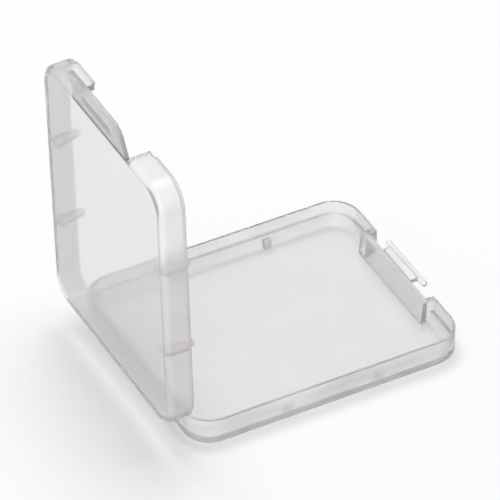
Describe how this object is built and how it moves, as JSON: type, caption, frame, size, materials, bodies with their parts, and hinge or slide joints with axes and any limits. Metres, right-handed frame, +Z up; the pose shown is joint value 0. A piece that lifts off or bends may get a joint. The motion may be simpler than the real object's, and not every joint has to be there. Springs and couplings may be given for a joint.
{
  "type": "memory card case",
  "caption": "Slim translucent clamshell case for a flat memory card, with a bending hinge and a slotted latch flap.",
  "frame": {"origin": "centre of the tray's underside, on the surface that the case lies on", "axes": "+X from the hinge to the latch side, +Y along the hinge, +Z up; the tray lies flat and the lid stands open"},
  "size_m": [0.0581, 0.0412, 0.0613],
  "materials": {
    "milky_plastic": "milky translucent polypropylene, soft satin",
    "lid_plastic": "milky translucent polypropylene, soft satin",
    "strip_plastic": "thin flexed polypropylene, clearer than the walls"
  },
  "bodies": {
    "base": {"tray": "milky_plastic", "catch_bar": "milky_plastic", "rib_left_front": "milky_plastic", "rib_left_rear": "milky_plastic", "rib_right_front": "milky_plastic", "rib_right_rear": "milky_plastic"},
    "lid": {"lid": "lid_plastic", "fin_left_front": "lid_plastic", "fin_left_rear": "lid_plastic", "fin_right_front": "lid_plastic", "fin_right_rear": "lid_plastic", "hinge_strip": "strip_plastic"},
    "latch": {"latch_flap": "lid_plastic", "flap_strip": "strip_plastic"}
  },
  "joints": [
    {"name": "lid_hinge", "type": "hinge", "parent": "base", "child": "lid", "pos_m": [-0.0255, 0, 0.00523], "axis": [0, 1, 0], "range_deg": [-88.25, 91.75], "deforming": ["hinge_strip"]},
    {"name": "flap_hinge", "type": "hinge", "parent": "lid", "child": "latch", "pos_m": [-0.03039, 0, 0.0546], "axis": [0, 1, 0], "range_deg": [-15, 100], "deforming": ["flap_strip"]}
  ]
}
